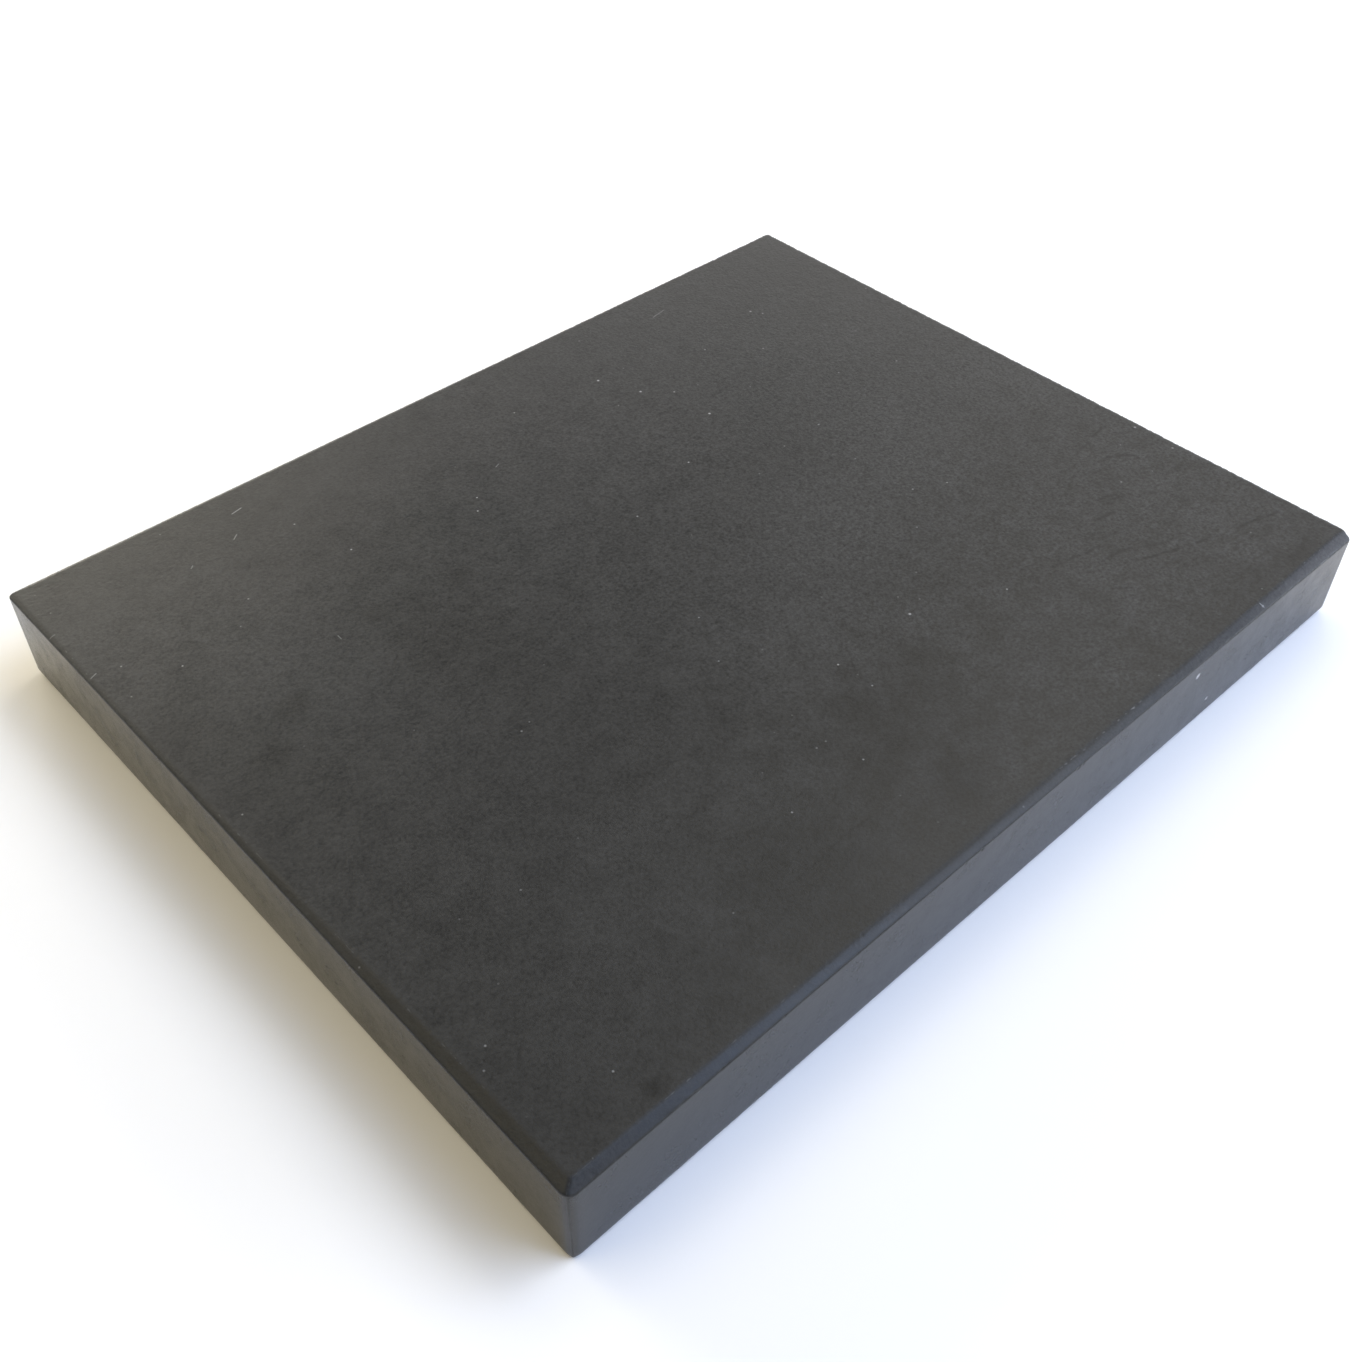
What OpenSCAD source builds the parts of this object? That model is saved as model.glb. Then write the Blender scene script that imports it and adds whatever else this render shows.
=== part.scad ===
// A bench whetstone: one solid slab of fine dark slate, honed flat on top.
// The origin is at the middle of the underside. +X runs along the length, +Y
// towards the back and +Z up, out of the honing face.
// The front and left edges of the honing face are bevelled so that they don't
// nick a blade. The back and right ones are left almost sharp.

/* [Slab] */
// Length of the slab, along X
slab_length = 200; // [150:1:250]
// Width of the slab, along Y
slab_width = 160; // [100:1:200]
// Thickness of the slab, along Z
slab_thickness = 20; // [12:1:30]

/* [Bevels of the honing face] */
// How far the front bevel reaches in over the honing face
front_bevel_run = 1.7; // [0.5:0.1:3]
// How far the front bevel comes down the front face
front_bevel_drop = 1; // [0.5:0.1:3]
// How far the left bevel reaches in over the honing face
left_bevel_run = 1.4; // [0.5:0.1:3]
// How far the left bevel comes down the left face
left_bevel_drop = 0.8; // [0.5:0.1:3]

/* [Broken edges] */
// Chamfer along the back and right edges of the honing face
top_break = 0.2; // [0.1:0.1:0.8]
// Chamfer all round the underside
base_break = 0.5; // [0.1:0.1:1]

/* [Upright edges] */
// Radius of the front left upright edge, where the two bevels meet
worn_upright_radius = 1.3; // [0.5:0.1:3]
// Radius of the other three upright edges
upright_radius = 0.4; // [0.2:0.1:2]

/* [Hidden] */
slate_grey = [0.25, 0.26, 0.28];
arc_segments = 48;

// Shape of the slab seen along its length or its width, with the bevel at the
// low end of the span
module side_profile(span, bevel_run, bevel_drop) {
    polygon([
        [-span / 2 + base_break, 0],
        [span / 2 - base_break, 0],
        [span / 2, base_break],
        [span / 2, slab_thickness - top_break],
        [span / 2 - top_break, slab_thickness],
        [-span / 2 + bevel_run, slab_thickness],
        [-span / 2, slab_thickness - bevel_drop],
        [-span / 2, base_break]
    ]);
}

// What a radius takes off a corner whose point is at the origin
module corner_waste(radius) {
    difference() {
        square(radius);
        translate([radius, radius]) circle(radius, $fn = arc_segments);
    }
}

// Shape of the slab seen from above, with its upright edges rounded
module plan_profile() {
    difference() {
        square([slab_length, slab_width], center = true);
        for (right = [0, 1], back = [0, 1]) {
            worn = right == 0 && back == 0;
            mirror([right, 0]) mirror([0, back])
                translate([-slab_length / 2, -slab_width / 2])
                    corner_waste(worn ? worn_upright_radius : upright_radius);
        }
    }
}

// The whetstone itself: what the front, side and plan shapes have in common
module stone_slab() {
    color(slate_grey)
    intersection() {
        linear_extrude(slab_thickness) plan_profile();
        rotate([90, 0, 90])
            linear_extrude(slab_length, center = true)
                side_profile(slab_width, front_bevel_run, front_bevel_drop);
        rotate([90, 0, 0])
            linear_extrude(slab_width, center = true)
                side_profile(slab_length, left_bevel_run, left_bevel_drop);
    }
}

stone_slab();
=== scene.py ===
"""Looks of a slate whetstone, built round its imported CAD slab.

Blender works in metres, in the part's own frame: +X along the slab, +Y to the back, +Z up
out of the honing face. The stone's surface is worked out in millimetres and its material
reads millimetres too, so the numbers below are millimetres unless a name says otherwise.
"""
import math
import random

import bpy
import numpy as np
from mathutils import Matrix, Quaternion, Vector, noise


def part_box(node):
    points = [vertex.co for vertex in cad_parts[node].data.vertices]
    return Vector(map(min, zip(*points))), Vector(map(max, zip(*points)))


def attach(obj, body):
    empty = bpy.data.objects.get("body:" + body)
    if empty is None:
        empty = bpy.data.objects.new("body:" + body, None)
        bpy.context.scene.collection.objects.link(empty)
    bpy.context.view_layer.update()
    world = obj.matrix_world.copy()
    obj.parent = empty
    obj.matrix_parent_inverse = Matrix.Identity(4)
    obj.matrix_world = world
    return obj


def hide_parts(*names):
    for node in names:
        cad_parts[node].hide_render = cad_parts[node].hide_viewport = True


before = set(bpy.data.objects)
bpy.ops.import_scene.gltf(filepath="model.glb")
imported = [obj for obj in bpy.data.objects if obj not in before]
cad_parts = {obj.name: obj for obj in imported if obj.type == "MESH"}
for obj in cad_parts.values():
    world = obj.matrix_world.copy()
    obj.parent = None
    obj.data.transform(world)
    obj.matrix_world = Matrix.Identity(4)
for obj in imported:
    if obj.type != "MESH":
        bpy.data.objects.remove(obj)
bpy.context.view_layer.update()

MM = 0.001
NODE = "stone_slab"
LOW, HIGH = (np.array(corner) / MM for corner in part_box(NODE))
SIZE = HIGH - LOW
LENGTH, WIDTH, THICKNESS = SIZE


# ---------------------------------------------------------------- surface mesh

CELLS_THROUGH = 3      # coarsest cells through the thickness
STEPS_PER_CELL = 32    # finest steps in one coarsest cell
CELL_GROWTH = 0.6      # how fast cells grow with distance from an edge
BEVELLED_BAND, BEVELLED_CELL = 2.1, 0.21    # how wide a strip along an edge has small cells
PLAIN_BAND, PLAIN_CELL = 0.9, 0.42


def box_edges():
    """The twelve edges: the axis each runs along, a point on it, and whether it is bevelled."""
    edges = []
    for axis in range(3):
        first, second = (axis + 1) % 3, (axis + 2) % 3
        for a in (LOW[first], HIGH[first]):
            for b in (LOW[second], HIGH[second]):
                point = np.zeros(3)
                point[first], point[second] = a, b
                front_top = axis == 0 and point[1] == LOW[1] and point[2] == HIGH[2]
                left_top = axis == 1 and point[0] == LOW[0] and point[2] == HIGH[2]
                edges.append((axis, point, front_top or left_top))
    return edges


def wanted_cell(centres):
    """How large a cell may be at each point: small along an edge and growing away from it."""
    wanted = np.full(len(centres), np.inf)
    for axis, point, bevelled in box_edges():
        away = np.delete(centres - point, axis, axis=1)
        distance = np.hypot(away[:, 0], away[:, 1])
        band = BEVELLED_BAND if bevelled else PLAIN_BAND
        cell = BEVELLED_CELL if bevelled else PLAIN_CELL
        wanted = np.minimum(wanted, cell + CELL_GROWTH * np.maximum(distance - band, 0))
    return wanted


def side_cells(steps, step_size, axis, at_high):
    """Square cells over one side of the box, split until each is small enough for its place."""
    u, v = (axis + 1) % 3, (axis + 2) % 3
    along_u, along_v = np.eye(3, dtype=int)[[u, v]]
    turns = np.array([0 * along_u, along_u, along_u + along_v, along_v])
    span = STEPS_PER_CELL
    grid = np.mgrid[0:steps[u]:span, 0:steps[v]:span].reshape(2, -1).T
    corners = np.zeros((len(grid), 3), int)
    corners[:, [u, v]] = grid
    corners[:, axis] = steps[axis] if at_high else 0
    cells = []
    while len(corners):
        centres = corners + (along_u + along_v) * span / 2
        size = span * step_size.max()
        fits = (size <= wanted_cell(LOW + centres * step_size)) | (span == 1)
        for corner in corners[fits]:
            ring = [tuple(point) for point in (corner + turns * span).tolist()]
            cells.append(ring if at_high else ring[::-1])
        span //= 2
        shifts = turns[[0, 1, 3, 2]] * span
        corners = np.concatenate([corners[~fits] + shift for shift in shifts])
    return cells


def box_cells(steps, step_size):
    """Cells that cover the box, as rings of four lattice points, outward side up."""
    cells = []
    for axis in range(3):
        for at_high in (False, True):
            cells += side_cells(steps, step_size, axis, at_high)
    return cells


def edge_points(start, end, known):
    """Lattice points from start up to end, with those that smaller neighbours put between."""
    middle = tuple((a + b) // 2 for a, b in zip(start, end))
    if middle in (start, end) or middle not in known:
        return [start]
    return edge_points(start, middle, known) + edge_points(middle, end, known)


def box_lattice():
    """Points on the sharp box, in millimetres, and the polygons that join them."""
    coarse = np.round(SIZE / (THICKNESS / CELLS_THROUGH)).astype(int)
    steps = coarse * STEPS_PER_CELL
    step_size = SIZE / steps
    cells = box_cells(steps, step_size)
    known = {}
    for ring in cells:
        for point in ring:
            known.setdefault(point, len(known))
    polygons = []
    for ring in cells:
        points = []
        for start, end in zip(ring, ring[1:] + ring[:1]):
            points += edge_points(start, end, known)
        polygons.append([known[p] for p in points])
    return LOW + np.array(list(known)) * step_size, polygons


# ------------------------------------------------------------- shape of the stone

SKELETON_INSET = 3.0    # points are carried in towards a smaller box this far inside
CARVING_ROUNDS = 18     # each halves the gap between a point that is in and one that is out
UNCUT = 1e-4            # a point less far out than this stays where it is
CRISP, SOFT = 0.16, 0.5     # widths over which two faces run into each other
UPRIGHT_ROUNDING = 0.6
WORN_UPRIGHT_ROUNDING = 1.9     # where the two bevels meet
BASE_LEG = 0.7          # how far the eased edge of the underside reaches
FRONT_RUN, FRONT_RUN_RIGHT = 1.65, 2.0      # the front bevel is widest at its right end
FRONT_DROP, FRONT_DROP_ENDS = 0.5, 1.4      # and comes further down towards both ends
LEFT_RUN, LEFT_RUN_BACK = 2.0, 0.8          # the left bevel narrows towards the back
LEFT_DROP = 0.55        # of its run


def smooth_step(value, start, end):
    """0 before the start and 1 past the end, with an even curve between."""
    t = np.clip((value - start) / (end - start), 0, 1)
    return t * t * (3 - 2 * t)


def blended(a, b, width):
    """The larger of two distances, with the corner between them rounded over a width."""
    overlap = np.maximum(width - np.abs(a - b), 0) / width
    return np.maximum(a, b) + overlap ** 2 * width / 4


def bevel(inset, depth, run, drop):
    """Distance outside a bevel that goes from run, across the top, to drop, down the side."""
    return (1 - inset / run - depth / drop) / np.hypot(1 / run, 1 / drop)


def noise_at(points, size, seed):
    """Perlin noise at each point, from -1 to 1, with features about size across."""
    shift = Vector((17.3 * seed, 5.1 * seed, 9.7 * seed))
    return np.array([noise.noise(Vector(p) / size + shift) for p in points])


def edge_chips():
    """Small bites out of the arrises: where, which way each faces, its radius and its depth."""
    draw = random.Random(11)
    # count, whether along X, the fixed coordinate, height, facing, radii, depths
    runs = [
        (30, True, LOW[1] + FRONT_RUN, HIGH[2], (0, -0.4, 1), (0.3, 0.8), (0.04, 0.13)),
        (14, True, LOW[1], HIGH[2] - 1.1, (0, -1, 0.5), (0.4, 1.0), (0.04, 0.12)),
        (12, False, LOW[0] + 1.0, HIGH[2], (-0.4, 0, 1), (0.3, 0.7), (0.03, 0.09)),
        (6, True, HIGH[1], HIGH[2], (0, 1, 1), (0.3, 0.8), (0.04, 0.12)),
        (6, False, HIGH[0], HIGH[2], (1, 0, 1), (0.3, 0.8), (0.04, 0.12)),
    ]
    chips = []
    for count, along_x, fixed, height, facing, radii, depths in runs:
        for _ in range(count):
            share = 1 - draw.random() ** 1.6    # more of them to the right and the back
            if along_x:
                place = (LOW[0] + LENGTH * share, fixed, height)
            else:
                place = (fixed, LOW[1] + WIDTH * share, height)
            chips.append((place, facing, draw.uniform(*radii), draw.uniform(*depths)))
    return chips


class Stone:
    """How far outside the finished stone a point is, in millimetres. Inside is negative."""

    def __init__(self, points):
        self.wander = 0.08 * noise_at(points, 11.0, 1) + 0.03 * noise_at(points, 2.6, 2)
        self.rough = np.abs(noise_at(points, 0.9, 3)) + 0.6 * np.abs(noise_at(points, 0.45, 4))
        self.ripple = 0.02 * noise_at(points, 3.5, 5)
        self.chips = edge_chips()

    def faces(self, p):
        """Distances outside the sides, the two bevels, the eased base, the bottom and the top."""
        x, y, z = p.T
        along = (x - LOW[0]) / LENGTH
        across = (y - LOW[1]) / WIDTH
        left, right = LOW[0] - x, x - HIGH[0]
        front, back = LOW[1] - y, y - HIGH[1]
        bottom, top = LOW[2] - z, z - HIGH[2]
        widening = (FRONT_RUN_RIGHT - FRONT_RUN) * smooth_step(along, 0.85, 1)
        deepening = (FRONT_DROP_ENDS - FRONT_DROP) * (2 * along - 1) ** 2
        narrowing = (LEFT_RUN - LEFT_RUN_BACK) * smooth_step(across, 0, 0.7)
        front_run = FRONT_RUN + widening + self.wander
        front_drop = FRONT_DROP + deepening + self.wander
        left_run = LEFT_RUN - narrowing + self.wander
        base = np.maximum.reduce([front, back, left, right]) + bottom + BASE_LEG
        return {
            "front": front, "back": back, "left": left, "right": right,
            "bottom": bottom, "top": top, "base": base / math.sqrt(2),
            "front_bevel": bevel(-front, -top, front_run, front_drop) + self.ripple,
            "left_bevel": bevel(-left, -top, left_run, LEFT_DROP * left_run) + self.ripple,
        }

    def arris(self, faces):
        """How near a point is to the line where two faces meet: 1 on it and 0 away from it."""
        distances = np.sort(np.stack(list(faces.values())), axis=0)
        return np.exp(-(distances[-1] - distances[-2]) / CRISP)

    def outside(self, p):
        """How far outside the stone each point is, with its worn and chipped arrises."""
        faces = self.faces(p)
        walls = blended(faces["front"], faces["left"], WORN_UPRIGHT_ROUNDING)
        walls = blended(walls, faces["right"], UPRIGHT_ROUNDING)
        walls = blended(walls, faces["back"], UPRIGHT_ROUNDING)
        bevels = blended(faces["front_bevel"], faces["left_bevel"], SOFT)
        shape = blended(walls, bevels, CRISP)
        shape = blended(shape, faces["base"], SOFT)
        shape = blended(shape, faces["bottom"], CRISP)
        shape = blended(shape, faces["top"], CRISP)
        along = (p[:, 0] - LOW[0]) / LENGTH
        shape += self.rough * (0.04 + 0.09 * along ** 2) * self.arris(faces)
        for place, facing, radius, depth in self.chips:
            outward = np.array(facing) / np.linalg.norm(facing)
            ball = np.array(place) + outward * (radius - depth)
            near = np.abs(p - ball).max(axis=1) < radius
            gap = radius - np.linalg.norm(p[near] - ball, axis=1)
            shape[near] = np.maximum(shape[near], gap)
        return shape


def carved(points):
    """Carries points of the sharp box in to the finished stone, and tells how near an arris."""
    stone = Stone(points)
    core = np.clip(points, LOW + SKELETON_INSET, HIGH - SKELETON_INSET)
    inward = core - points
    inward /= np.linalg.norm(inward, axis=1)[:, None]
    near, far = np.zeros(len(points)), np.full(len(points), SKELETON_INSET)
    for _ in range(CARVING_ROUNDS):
        middle = (near + far) / 2
        out = stone.outside(points + inward * middle[:, None]) > 0
        near = np.where(out, middle, near)
        far = np.where(out, far, middle)
    needs_cut = stone.outside(points) > UNCUT
    surface = points + inward * np.where(needs_cut, far, 0)[:, None]
    return surface, stone.arris(stone.faces(surface))


def stone_piece():
    """The stone as one closed mesh, which also carries how near each point is to an arris."""
    points, polygons = box_lattice()
    surface, arris = carved(points)
    mesh = bpy.data.meshes.new("whetstone")
    mesh.from_pydata((surface * MM).tolist(), [], polygons)
    mesh.attributes.new("arris", "FLOAT", "POINT").data.foreach_set("value", arris)
    mesh.shade_smooth()
    piece = bpy.data.objects.new("whetstone", mesh)
    bpy.context.scene.collection.objects.link(piece)
    return piece


# ------------------------------------------------------------------- materials

class Nodes:
    """Short calls for the nodes of one material or world."""

    def __init__(self, tree):
        self.tree = tree
        tree.nodes.clear()

    def add(self, kind, inputs=(), **settings):
        """A new node of a kind, with its settings and its inputs."""
        node = self.tree.nodes.new(kind)
        for name, value in settings.items():
            setattr(node, name, value)
        for name, value in dict(inputs).items():
            self.set(node, name, value)
        return node

    def set(self, node, name, value):
        """Fills in an input, or links it if the value is another node's output."""
        socket = node.inputs[name]
        if isinstance(value, bpy.types.NodeSocket):
            self.tree.links.new(value, socket)
        else:
            socket.default_value = value

    def math(self, operation, a, b=0.5, c=0.5, clamp=False):
        node = self.add("ShaderNodeMath", {0: a, 1: b, 2: c}, operation=operation, use_clamp=clamp)
        return node.outputs[0]

    def vector(self, operation, a, b):
        """A number worked out from two vectors, such as the distance between them."""
        node = self.add("ShaderNodeVectorMath", {0: a, 1: b}, operation=operation)
        return node.outputs["Value"]

    def varied(self, value, pattern, amount):
        """Value times a factor that follows a pattern, up and down by half the amount."""
        swing = self.math("MULTIPLY_ADD", self.math("SUBTRACT", pattern, 0.5), amount, 1.0)
        return self.math("MULTIPLY", value, swing)

    def noise(self, vector, size, detail=2.0, roughness=0.5, distortion=0.0):
        """Noise from 0 to 1 with features about size millimetres across."""
        inputs = {"Vector": vector, "Scale": 1 / size, "Detail": detail,
                  "Roughness": roughness, "Distortion": distortion}
        return self.add("ShaderNodeTexNoise", inputs).outputs["Fac"]

    def fade(self, value, start, end, low=0.0, high=1.0):
        """Value carried smoothly from start..end to low..high."""
        inputs = {"Value": value, "From Min": start, "From Max": end, "To Min": low, "To Max": high}
        node = self.add("ShaderNodeMapRange", inputs, interpolation_type="SMOOTHSTEP")
        return node.outputs[0]

    def mix(self, factor, a, b, blend_type="MIX"):
        """Mixes two colours."""
        node = self.add("ShaderNodeMix", data_type="RGBA", blend_type=blend_type)
        for index, value in ((0, factor), (6, a), (7, b)):
            self.set(node, index, value)
        return node.outputs[2]

    def moved(self, vector, turn=0.0, scale=(1, 1, 1)):
        """The vector scaled, and then turned about Z."""
        inputs = {"Vector": vector, "Rotation": (0, 0, turn), "Scale": scale}
        return self.add("ShaderNodeMapping", inputs).outputs[0]


def grey(value, warmth=0.0):
    """A near-neutral linear colour, warmer or cooler by a share of its value."""
    return (value * (1 + warmth), value, value * (1 - warmth), 1.0)


CREASE_WIDTH, SCRATCH_WIDTH = 0.75, 0.2
# Marks on the honing face and its bevels: x, y, length, slope in degrees, strength
CREASES = [
    (91.5, -26, 7, 6, 0.9),
    (84, -27.5, 7, 8, 0.5),
    (87.5, -34.5, 8, -34, 0.9),
    (79, -34, 8, -25, 0.6),
    (74, -40.5, 6, -20, 0.8),
    (69, -44, 6, -14, 0.8),
    (62, -46, 6, -10, 0.5),
    (46, -43, 7, -9, 0.5),
    (52, -47, 10, -13, 0.6),
    (58.5, -48.5, 5, -10, 1.0),
    (61.5, -52.5, 8, -11, 0.7),
    (67, -58, 11, -23, 1.0),
    (77, -61, 5, -12, 1.0),
    (90, -65, 13, -13, 0.9),
    (92.5, -74.5, 14, 17, 0.5),
    (54, -59, 4, -45, 0.6),
    (34, -66.5, 12, -6, 0.6),
    (31, -32, 22, 8, 0.3),
    (83, 21, 12, -45, 0.4),
    (-33, -64, 24, 4, 0.4),
]
SCRATCHES = [
    (-55.8, 73, 3.0, 6, 0.9),
    (-60.3, 66.3, 2.0, 40, 0.7),
    (-61.5, 29, 1.6, 85, 0.4),
    (54.5, 70.7, 5, 9, 0.5),
    (-9, 50.2, 1.6, 20, 0.5),
    (-71, 64, 1.2, 35, 0.5),
    (-98.6, 49.8, 1.8, 25, 0.6),
    (-99.2, 64, 1.6, 5, 0.4),
    (69, -79.2, 1.8, -78, 1.0),
    (88.5, -79.0, 1.2, 10, 0.7),
    (91, -79.0, 1.4, 15, 0.9),
    (92.5, -79.3, 1.0, 15, 0.7),
    (95, -78.8, 1.2, 10, 0.8),
]
# Bright mineral flecks: x, y, z, radius, strength
FLECKS = [
    (26.3, 59.4, 20, 0.4, 0.8),
    (30.3, 50.0, 20, 0.4, 0.7),
    (35.6, 45.0, 20, 0.3, 0.5),
    (35.6, 34.0, 20, 0.4, 0.8),
    (52.0, 52.5, 20, 0.3, 0.4),
    (62.0, 44.0, 20, 0.3, 0.4),
    (71.0, 57.0, 20, 0.4, 0.5),
    (20.5, 24.5, 20, 0.3, 0.6),
    (1.0, 18.5, 20, 0.3, 0.4),
    (18.7, -36.5, 20, 0.4, 0.7),
    (37.3, -44.3, 20, 0.3, 0.5),
    (47.5, -12.5, 20, 0.3, 0.4),
    (-0.8, -36.6, 20, 0.3, 0.6),
    (-14.4, -54.8, 20, 0.3, 0.4),
    (-18.5, 44.5, 20, 0.3, 0.4),
    (-21.0, 41.0, 20, 0.3, 0.4),
    (-46.0, 48.0, 20, 0.3, 0.5),
    (49.8, 15.5, 20, 0.3, 0.4),
    (69.0, -79.2, 19.5, 0.4, 0.5),
    (48.0, -80.0, 15.9, 1.0, 1.0),
    (55.6, -80.0, 5.0, 0.8, 0.5),
    (98.4, -30.4, 20, 0.4, 0.5),
    (98.0, -40.0, 20, 0.4, 0.35),
]
# Soft patches on the honing face: x, y, radius, how much darker (or paler, below zero)
PATCHES = [
    (-80, 50, 26, -0.35),
    (-72, 22, 18, -0.2),
    (-46, 14, 14, 0.2),
    (-44, -4, 9, 0.15),
    (0, -22, 20, -0.2),
    (26, -8, 20, -0.25),
    (58, -2, 18, -0.2),
    (92, -2, 14, -0.2),
    (84, 66, 26, 0.15),
    (0, -52, 17, 0.25),
    (-40, -66, 15, 0.2),
    (25, -84, 14, 0.2),
    (48, -84, 16, 0.25),
    (70, -84, 18, 0.3),
    (92, -84, 18, 0.35),
    (-77, 20, 3.5, 0.3),
    (-53, 30, 3, 0.3),
    (-36, 27, 3.5, 0.25),
    (-86, 12, 4, 0.2),
    (-81, -76, 2, 0.5),
    (-6, -69, 6, 0.25),
]
CREASED_PLACE, CREASED_RADIUS = (74, -40, 20), 38    # where the face is faintly folded
FOLD_SLOPE = -20        # degrees
CALM_CORNER = (-100, -80, 20)       # the grain is faintest here and bolder away from it

# How large each kind of pattern is, and how high the bump stands
GRAIN, CRYSTAL_CELL, FLAKES, MOTTLE, CLOUDS = 0.6, 2.6, 2.2, 6.0, 36.0
BUMP_HEIGHT = 0.035
SIDE_GREY, HONED_GREY, PALE_GREY = 0.012, 0.02, 0.42
SIDE_ROUGHNESS, HONED_ROUGHNESS = 0.22, 0.42
SLATE_IOR = 1.38


def streak(n, point, wobble, x, y, length, slope, width):
    """Mask of one thin wavy line, centred on x, y."""
    turn = math.radians(slope)
    across = Vector((-math.sin(turn), math.cos(turn), 0))
    middle = Vector((x, y, HIGH[2]))
    offset = n.math("ADD", n.vector("DOT_PRODUCT", point, across), wobble)
    aside = n.math("ABSOLUTE", n.math("SUBTRACT", offset, across.dot(middle)))
    beyond = n.vector("DISTANCE", point, middle)
    return n.math("MULTIPLY", n.fade(aside, width, 0), n.fade(beyond, length / 2, length / 3))


def streaks(n, point, wobble, marks, width):
    """Mask of several lines together."""
    mask = 0.0
    for x, y, length, slope, strength in marks:
        line = streak(n, point, wobble, x, y, length, slope, width)
        mask = n.math("MAXIMUM", n.math("MULTIPLY", line, strength), mask)
    return mask


def patch_tone(n, point, stray):
    """How much the soft patches darken the face, from 1 for not at all."""
    tone = 1.0
    flat = n.add("ShaderNodeVectorMath", {0: point, 1: (1, 1, 0)}, operation="MULTIPLY").outputs[0]
    for x, y, radius, darker in PATCHES:
        away = n.vector("DISTANCE", flat, (x, y, 0))
        share = n.math("MULTIPLY_ADD", stray, 0.9, n.math("DIVIDE", away, radius))
        tone = n.math("MULTIPLY", n.fade(share, 0.3, 1.3, 1 - darker, 1.0), tone)
    return tone


def folds(n, point):
    """Short faint dashes, all along one slope, in the creased part of the face."""
    along = n.moved(n.moved(point, turn=math.radians(-FOLD_SLOPE)), scale=(0.2, 1, 1))
    dashes = n.fade(n.noise(along, 1.9, detail=1.0), 0.6, 0.75)
    away = n.vector("DISTANCE", point, CREASED_PLACE)
    place = n.fade(away, CREASED_RADIUS, CREASED_RADIUS / 3)
    return n.math("MULTIPLY", n.math("MULTIPLY", dashes, place), 0.6)


def crystals(n, point):
    """Tiny pale crystals, few of them and of varied strength."""
    cells = n.add("ShaderNodeTexVoronoi", {"Vector": point, "Scale": 1 / CRYSTAL_CELL})
    draw = n.add("ShaderNodeSeparateXYZ", {0: cells.outputs["Color"]})
    chosen = n.fade(draw.outputs["X"], 0.85, 0.86)
    strength = n.math("MULTIPLY", chosen, n.fade(draw.outputs["Y"], 0.2, 1.0, 0.05, 0.35))
    return n.math("MULTIPLY", n.fade(cells.outputs["Distance"], 0.11, 0.02), strength)


def flecks(n, point):
    """The larger flecks, each at its own place."""
    mask = 0.0
    for x, y, z, radius, strength in FLECKS:
        fleck = n.fade(n.vector("DISTANCE", point, (x, y, z)), radius, 0, 0, strength)
        mask = n.math("MAXIMUM", fleck, mask)
    return mask


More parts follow.
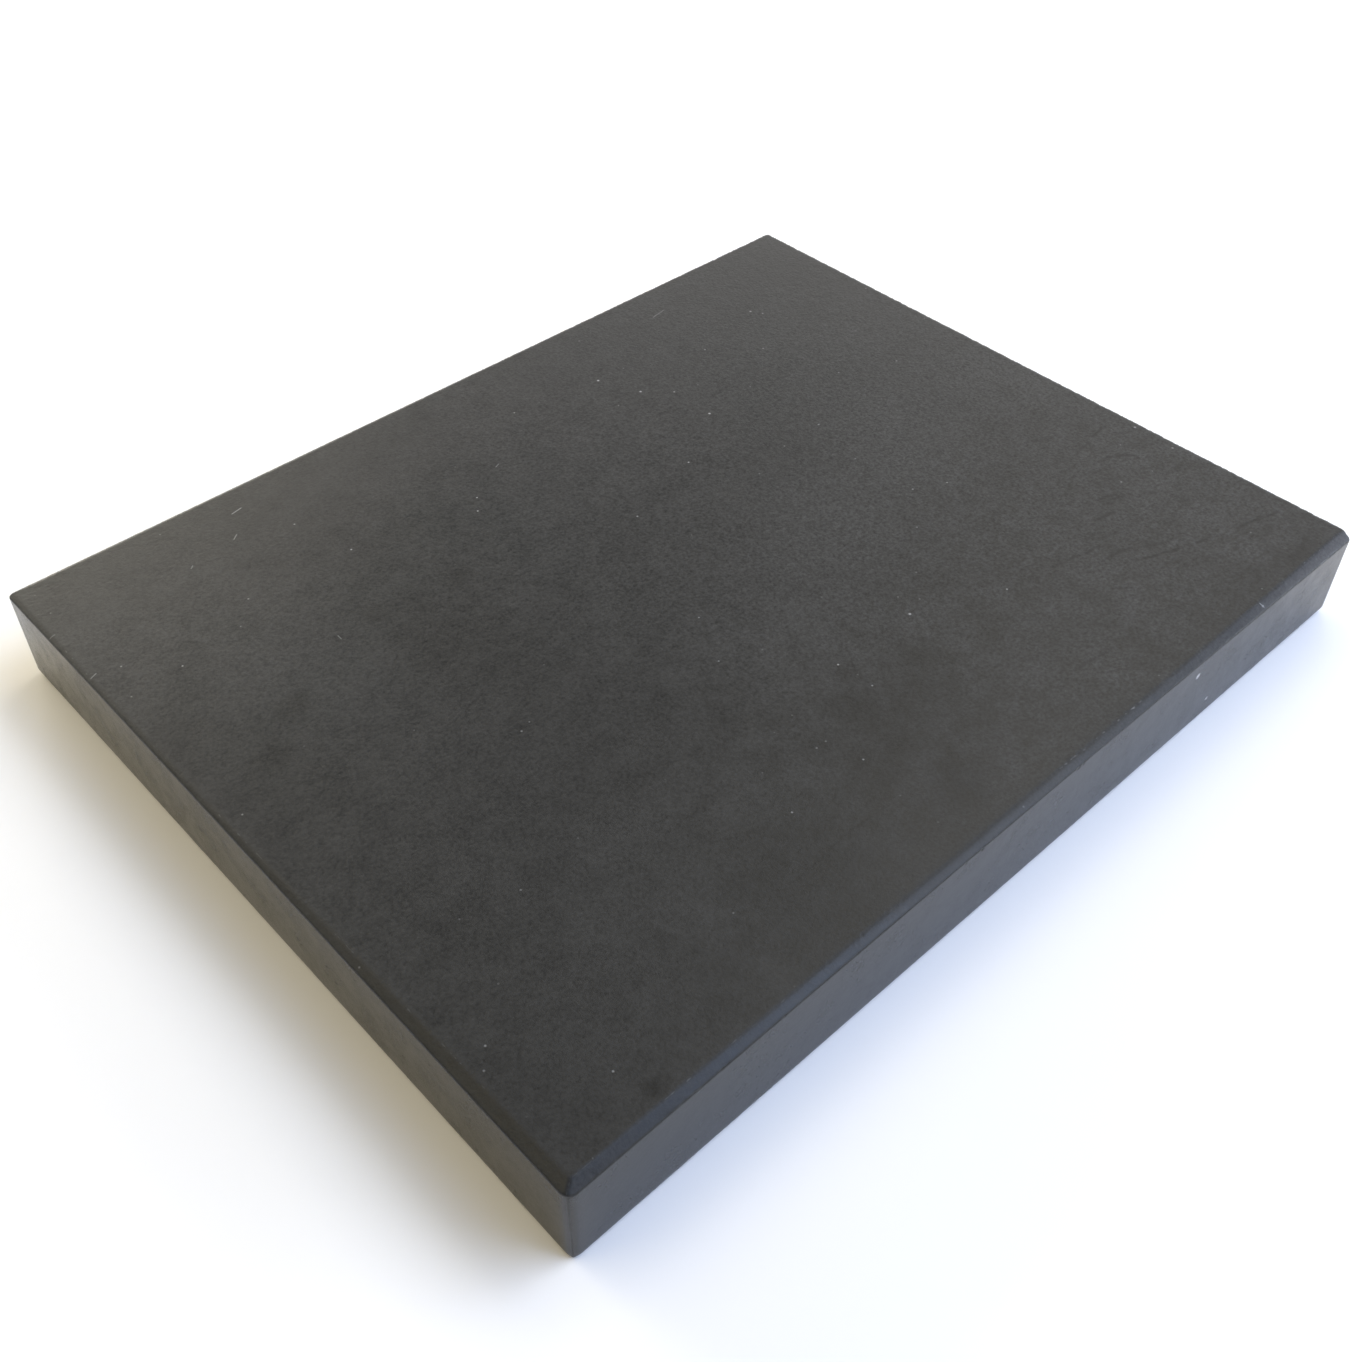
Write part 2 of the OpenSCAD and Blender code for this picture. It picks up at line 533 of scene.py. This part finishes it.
class Slate:
    """The patterns of the slate, which its colour, roughness and relief share."""

    def __init__(self, n):
        self.n = n
        place = n.add("ShaderNodeTexCoord")
        facing = n.add("ShaderNodeSeparateXYZ", {0: place.outputs["Normal"]}).outputs["Z"]
        self.point = n.moved(place.outputs["Object"], scale=(1 / MM,) * 3)
        self.x = n.add("ShaderNodeSeparateXYZ", {0: self.point}).outputs["X"]
        self.honed = n.fade(facing, 0.45, 0.75)     # 1 on top and on the bevels, 0 on the sides
        self.arris = n.add("ShaderNodeAttribute", attribute_name="arris").outputs["Fac"]
        self.grain = n.noise(self.point, GRAIN, detail=2.0, roughness=0.65)
        self.flakes = n.noise(self.point, FLAKES, detail=2.0)
        self.mottle = n.noise(self.point, MOTTLE, detail=4.0, roughness=0.6, distortion=0.4)
        self.wobble = n.math("SUBTRACT", n.noise(self.point, 7.0, detail=3.0), 0.5)
        self.creases = self.creased()
        self.pale = self.pale_marks()

    def on_sides_or_top(self, sides, top):
        """One value on the sawn sides and another on the honed top and bevels."""
        return self.n.fade(self.honed, 0, 1, sides, top)

    def creased(self):
        """The dark creases of the honing face: the long broken ones and the faint folds."""
        n = self.n
        wobble = n.math("MULTIPLY", self.wobble, 2.0)
        broken = n.fade(n.noise(self.point, 2.0, detail=2.0), 0.35, 0.5, 0.5, 1.0)
        lines = streaks(n, self.point, wobble, CREASES, CREASE_WIDTH)
        creases = n.math("MAXIMUM", n.math("MULTIPLY", lines, broken), folds(n, self.point))
        return n.math("MULTIPLY", creases, self.honed)

    def bruises(self):
        """Arrises rubbed pale in places, more of them towards the right."""
        n = self.n
        worn = n.math("MULTIPLY", self.arris, n.noise(self.point, 1.1, detail=1.0))
        places = n.fade(n.noise(self.point, 14.0), 0.45, 0.6)
        rubbed = n.math("MULTIPLY", places, n.fade(self.x, -20, 70, 0.2, 1.0))
        return n.math("MULTIPLY", n.fade(worn, 0.42, 0.62), rubbed)

    def pale_marks(self):
        """Crystals and flecks, and fainter than those the scratches and bruises."""
        n = self.n
        specks = n.math("MAXIMUM", crystals(n, self.point), flecks(n, self.point))
        wobble = n.math("MULTIPLY", self.wobble, 1.2)
        scratches = streaks(n, self.point, wobble, SCRATCHES, SCRATCH_WIDTH)
        scratches = n.math("MULTIPLY", scratches, self.honed)
        faint = n.math("MULTIPLY", n.math("MAXIMUM", scratches, self.bruises()), 0.4)
        return n.math("MAXIMUM", specks, faint)

    def tone(self):
        """How light the grey of the stone is at each point, about 1."""
        n = self.n
        grit = n.fade(n.vector("DISTANCE", self.point, CALM_CORNER), 45, 140, 0.55, 1.0)
        grit = n.math("MULTIPLY", grit, n.fade(self.x, LOW[0], HIGH[0], 0.75, 2.0))
        tone = n.varied(1.0, self.grain, n.math("MULTIPLY", grit, 1.9))
        tone = n.varied(tone, self.flakes, n.math("MULTIPLY", grit, 0.2))
        tone = n.math("MAXIMUM", tone, 0.05)
        calm = n.fade(n.noise(self.point, 80.0, detail=0.0), 0.35, 0.65, 0.5, 1.3)
        y = n.vector("DOT_PRODUCT", self.point, (0, 1, 0))
        mottling = self.on_sides_or_top(2.5, n.fade(y, 10, -60, 0.65, 1.1))
        tone = n.varied(tone, self.mottle, n.math("MULTIPLY", calm, mottling))
        clouds = n.noise(self.point, CLOUDS, detail=3.0, roughness=0.55, distortion=0.6)
        tone = n.varied(tone, clouds, 0.45)
        stray = n.math("SUBTRACT", self.mottle, 0.5)
        tone = n.math("MULTIPLY", tone, patch_tone(n, self.point, stray))
        return n.math("MULTIPLY", tone, n.fade(self.creases, 0, 1, 1.0, 0.35))

    def colour(self):
        """The stone's own grey, with the pale marks over it."""
        n = self.n
        base = n.mix(self.honed, grey(SIDE_GREY), grey(HONED_GREY))
        return n.mix(self.pale, n.mix(1.0, base, self.tone(), "MULTIPLY"), grey(PALE_GREY))

    def roughness(self):
        """Smoother on the sides than on top, and duller on the marks and the arrises."""
        n = self.n
        rough = self.on_sides_or_top(SIDE_ROUGHNESS, HONED_ROUGHNESS)
        rough = n.varied(rough, self.mottle, self.on_sides_or_top(1.8, 0.4))
        rough = n.varied(rough, self.grain, 0.8)
        dull = n.math("MULTIPLY", n.math("MAXIMUM", self.pale, self.arris), 0.2)
        return n.math("ADD", rough, dull, clamp=True)

    def bump(self):
        """Fine grain that stands proud, with the creases sunk in it."""
        n = self.n
        relief = n.math("MULTIPLY_ADD", self.flakes, 0.8, self.grain)
        relief = n.math("SUBTRACT", relief, n.math("MULTIPLY", self.creases, 0.5))
        relief = n.math("MULTIPLY", relief, self.on_sides_or_top(0.3, 1.0))
        inputs = {"Height": relief, "Strength": 1.0, "Distance": BUMP_HEIGHT * MM}
        return n.add("ShaderNodeBump", inputs).outputs[0]


def slate_material():
    material = bpy.data.materials.new("honed_slate")
    material.use_nodes = True
    n = Nodes(material.node_tree)
    slate = Slate(n)
    shader = n.add("ShaderNodeBsdfPrincipled", {
        "Base Color": slate.colour(),
        "Roughness": slate.roughness(),
        "IOR": SLATE_IOR,
        "Normal": slate.bump(),
    })
    n.add("ShaderNodeOutputMaterial", {"Surface": shader.outputs[0]})
    return material


def plain_material(name, colour, roughness):
    material = bpy.data.materials.new(name)
    material.use_nodes = True
    shader = material.node_tree.nodes["Principled BSDF"]
    shader.inputs["Base Color"].default_value = colour
    shader.inputs["Roughness"].default_value = roughness
    return material


# --------------------------------------------------------------- stage and camera

FLOOR_HALF = 10.0       # metres
FLOOR_GAP = 0.02        # how far the floor is below the underside
VIEW_AZIMUTH, VIEW_ELEVATION, VIEW_ROLL = -43.6, 44.9, 0.62     # degrees
VIEW_DISTANCE = 1.456   # of the slab's length
VIEW_AIM = (-0.051, -0.031, 0)      # of the slab's length, from the middle of its underside
LENS_MM = 39.74

SOFTBOX_DISTANCE, SOFTBOX_WIDTH, SOFTBOX_HEIGHT = 1.4, 1.1, 0.7     # metres
SOFT_WHITE = (1.0, 0.97, 0.93)
WARM_WHITE = (1.0, 0.94, 0.79)
AMBER = (1.0, 0.87, 0.56)
PALE_BLUE = (0.78, 0.84, 1.0)
SKY_BLUE = (0.5, 0.66, 1.0)
SOFTBOXES = [
    # name, azimuth, elevation, power in watts, colour
    ("back_low", 180, 12, 21, WARM_WHITE),
    ("right_back_low", 135, 12, 6, SOFT_WHITE),
    ("right_low", 90, 12, 5, SOFT_WHITE),
    ("front_right_low", 45, 12, 17, PALE_BLUE),
    ("back_left_high", -135, 56, 6, AMBER),
    ("right_high", 90, 56, 7, WARM_WHITE),
    ("front_right_high", 45, 56, 13, SKY_BLUE),
    ("front_high", 20, 45, 1.5, SKY_BLUE),
]


def direction(azimuth, elevation):
    """Unit vector from the stone towards a place, by the same angles as the views."""
    a, e = math.radians(azimuth), math.radians(elevation)
    return Vector((math.sin(a) * math.cos(e), -math.cos(a) * math.cos(e), math.sin(e)))


def add_floor():
    """A plain sheet of pale paper under the stone."""
    mesh = bpy.data.meshes.new("floor")
    h, z = FLOOR_HALF, (LOW[2] - FLOOR_GAP) * MM
    mesh.from_pydata([(-h, -h, z), (h, -h, z), (h, h, z), (-h, h, z)], [], [(0, 1, 2, 3)])
    mesh.materials.append(plain_material("floor_paper", grey(0.93, 0.02), 0.9))
    floor = bpy.data.objects.new("floor", mesh)
    bpy.context.scene.collection.objects.link(floor)


def add_softbox(name, azimuth, elevation, power, colour):
    """One large soft lamp, aimed at the stone and out of the camera's sight."""
    light = bpy.data.lights.new(name, "AREA")
    light.shape = "RECTANGLE"
    light.size, light.size_y = SOFTBOX_WIDTH, SOFTBOX_HEIGHT
    light.energy = power
    light.color = colour
    lamp = bpy.data.objects.new(name, light)
    towards = direction(azimuth, elevation)
    lamp.location = towards * SOFTBOX_DISTANCE
    lamp.rotation_mode = "QUATERNION"
    lamp.rotation_quaternion = towards.to_track_quat("Z", "Y")
    lamp.visible_camera = False
    bpy.context.scene.collection.objects.link(lamp)


def add_world():
    """Pale at the horizon and dim overhead, so that the top of the stone stays dark."""
    world = bpy.data.worlds.new("studio")
    bpy.context.scene.world = world
    world.use_nodes = True
    n = Nodes(world.node_tree)
    skyward = n.add("ShaderNodeTexCoord").outputs["Generated"]
    up = n.add("ShaderNodeSeparateXYZ", {0: skyward}).outputs["Z"]
    wall = n.mix(n.fade(up, 0.0, 0.5), grey(0.3), grey(0.1))
    horizon = n.mix(n.fade(up, 0.02, 0.2), grey(0.3), grey(0.0))
    glow = n.mix(1.0, wall, horizon, "ADD")
    background = n.add("ShaderNodeBackground", {"Color": glow})
    n.add("ShaderNodeOutputWorld", {"Surface": background.outputs[0]})


def add_camera():
    """The camera at the photo's own angle."""
    data = bpy.data.cameras.new("camera")
    data.lens, data.sensor_width = LENS_MM, 36
    data.clip_start, data.clip_end = 0.01, 20
    camera = bpy.data.objects.new("camera", data)
    length = LENGTH * MM
    underside = Vector((LOW[0] + HIGH[0], LOW[1] + HIGH[1], 2 * LOW[2])) / 2 * MM
    back = direction(VIEW_AZIMUTH, VIEW_ELEVATION)
    camera.location = underside + Vector(VIEW_AIM) * length + back * VIEW_DISTANCE * length
    camera.rotation_mode = "QUATERNION"
    level = back.to_track_quat("Z", "Y")
    camera.rotation_quaternion = level @ Quaternion((0, 0, 1), math.radians(VIEW_ROLL))
    bpy.context.scene.collection.objects.link(camera)
    bpy.context.scene.camera = camera


# ------------------------------------------------------------------------ the part

stone = stone_piece()
stone.data.materials.append(slate_material())
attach(stone, "root")
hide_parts(NODE)

add_floor()
add_world()
for softbox in SOFTBOXES:
    add_softbox(*softbox)
add_camera()
bpy.context.scene.view_settings.view_transform = "Standard"
